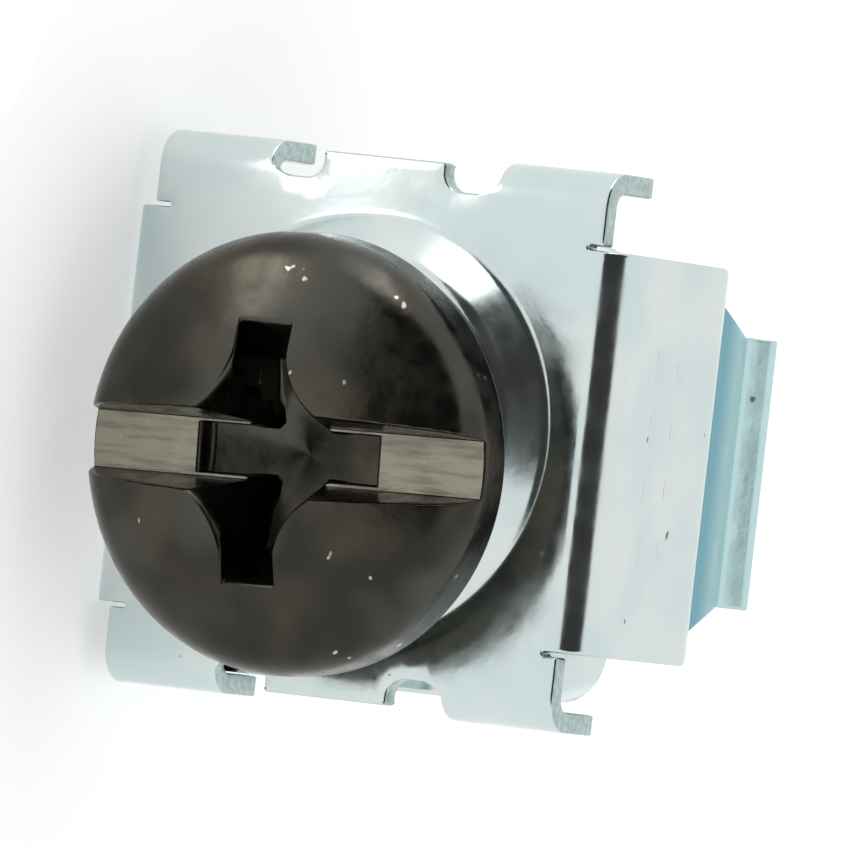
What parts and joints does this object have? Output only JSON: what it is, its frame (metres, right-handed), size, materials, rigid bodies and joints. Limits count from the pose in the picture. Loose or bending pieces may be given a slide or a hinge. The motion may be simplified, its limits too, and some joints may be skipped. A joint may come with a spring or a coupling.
{
  "type": "cage nut",
  "caption": "Cage nut with a folded spring steel cage, captive square nut and pan head screw with slot and cross recess, for square-hole rack rails.",
  "frame": {"origin": "centre of the cage, in the plane of the wing shoulders that stops on the back of the rack rail", "axes": "+Y runs out of the cage along the wings towards their hooks, as the part goes into the rail; the screw's head is at -Y; +Z from the lower wing to the upper wing; +X along the wings' width; the part lies on its lower wing"},
  "size_m": [0.012, 0.0152, 0.012],
  "materials": {
    "cage": "bright zinc plated spring steel",
    "nut": "bright zinc plated steel",
    "screw": "black nickel plated steel"
  },
  "bodies": {
    "cage": {"cage": "cage"},
    "nut": {"square_nut": "nut"},
    "screw": {"pan_head_screw": "screw"}
  },
  "joints": [
    {"name": "nut_float", "type": "slide", "parent": "cage", "child": "nut", "axis": [-1, 0, 0], "range_m": [0, 0.000939]},
    {"name": "screw_out", "type": "slide", "parent": "nut", "child": "screw", "axis": [0.0523, -0.9986, 0], "range_m": [0, 0.0128]}
  ]
}
